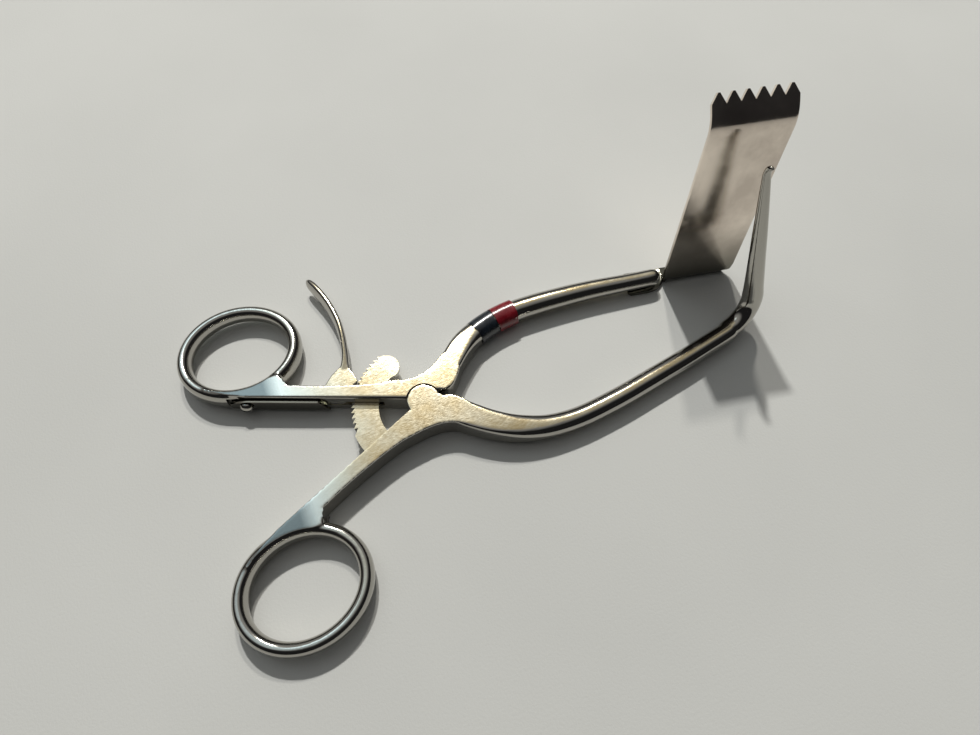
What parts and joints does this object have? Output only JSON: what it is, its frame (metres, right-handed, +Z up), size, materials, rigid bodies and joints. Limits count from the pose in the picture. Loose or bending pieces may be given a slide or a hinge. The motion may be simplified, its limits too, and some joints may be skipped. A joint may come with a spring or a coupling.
{
  "type": "self-retaining retractor",
  "caption": "Ring-handled surgical retractor: a toothed blade on one arm, a hooked spike on the other, held open by a curved ratchet.",
  "frame": {"origin": "on the hinge axis of the two arms, in the flat underside of the box joint, which lies on the table", "axes": "+X along the instrument towards the blade and the spike, halfway between the two arms at rest; +Y towards the arm that carries the blade; +Z up, the way the blade and the spike stand"},
  "size_m": [0.156, 0.0956, 0.0593],
  "materials": {
    "satin_steel": "satin stainless steel, polished by hand on the rounded parts",
    "bright_steel": "bright stainless steel",
    "blade_steel": "mirror-polished stainless sheet",
    "black_tape": "glossy marking tape",
    "red_tape": "glossy marking tape"
  },
  "bodies": {
    "spike_side": {"spike_arm": "satin_steel", "ratchet_bar": "satin_steel", "hinge_pin": "bright_steel"},
    "blade_side": {"blade_arm": "satin_steel", "retractor_blade": "blade_steel", "tape_black": "black_tape", "tape_red": "red_tape", "leaf_spring": "bright_steel", "spring_screw": "bright_steel", "lever_pin": "bright_steel"},
    "lever": {"release_lever": "satin_steel"}
  },
  "joints": [
    {"name": "arm_hinge", "type": "hinge", "parent": "spike_side", "child": "blade_side", "pos_m": [0, 0, 0.0036], "axis": [0, 0, 1], "range_deg": [-4, 40]},
    {"name": "release_lever_turn", "type": "hinge", "parent": "blade_side", "child": "lever", "pos_m": [-0.01918, 0.01012, 0.0036], "axis": [0, 0, 1], "range_deg": [0, 8], "stiffness_Nm_per_rad": 0.05, "springref_deg": -28.65}
  ]
}
